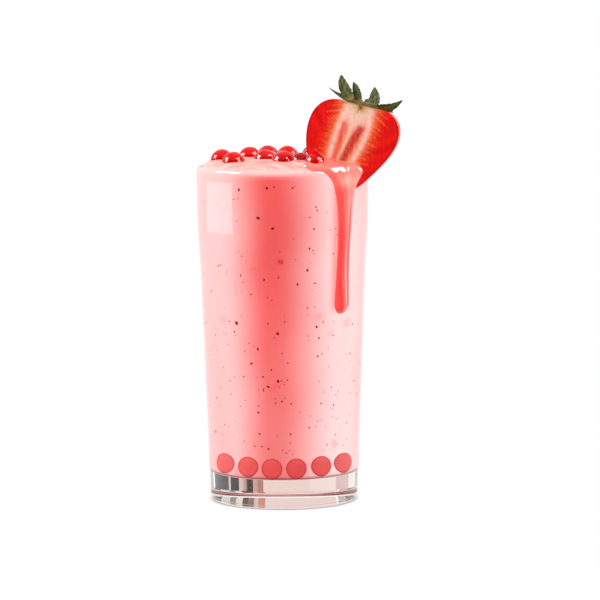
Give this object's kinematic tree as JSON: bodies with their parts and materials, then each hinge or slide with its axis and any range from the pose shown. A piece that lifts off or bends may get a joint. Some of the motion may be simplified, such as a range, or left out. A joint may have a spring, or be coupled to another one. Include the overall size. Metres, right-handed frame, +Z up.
{
  "type": "strawberry drink with popping boba in a tall tumbler",
  "caption": "Tall clear tumbler of thick pink strawberry drink, with popping boba on top, a strawberry half on the rim and a sauce drip.",
  "frame": {"origin": "middle of the flat foot of the tumbler", "axes": "+Z up along the tumbler's axis; the cut face of the strawberry and the sauce drip face -Y, and the strawberry hangs towards +X"},
  "size_m": [0.0902, 0.076, 0.1895],
  "materials": {
    "tumbler_glass": "clear, polished",
    "drink_pink": "thick, opaque, wet",
    "boba_red": "translucent wet gel",
    "strawberry_red": "moist fruit, pale veins on the cut face",
    "leaf_green": "soft leaf",
    "sauce_coral": "glossy syrup"
  },
  "bodies": {
    "root": {"glass": "tumbler_glass", "drink": "drink_pink", "boba_01": "boba_red", "boba_02": "boba_red", "boba_03": "boba_red", "boba_04": "boba_red", "boba_05": "boba_red", "boba_06": "boba_red", "boba_07": "boba_red", "boba_08": "boba_red", "boba_09": "boba_red", "boba_10": "boba_red", "boba_11": "boba_red", "boba_12": "boba_red", "strawberry_half": "strawberry_red", "strawberry_leaves": "leaf_green", "sauce": "sauce_coral"}
  },
  "joints": []
}
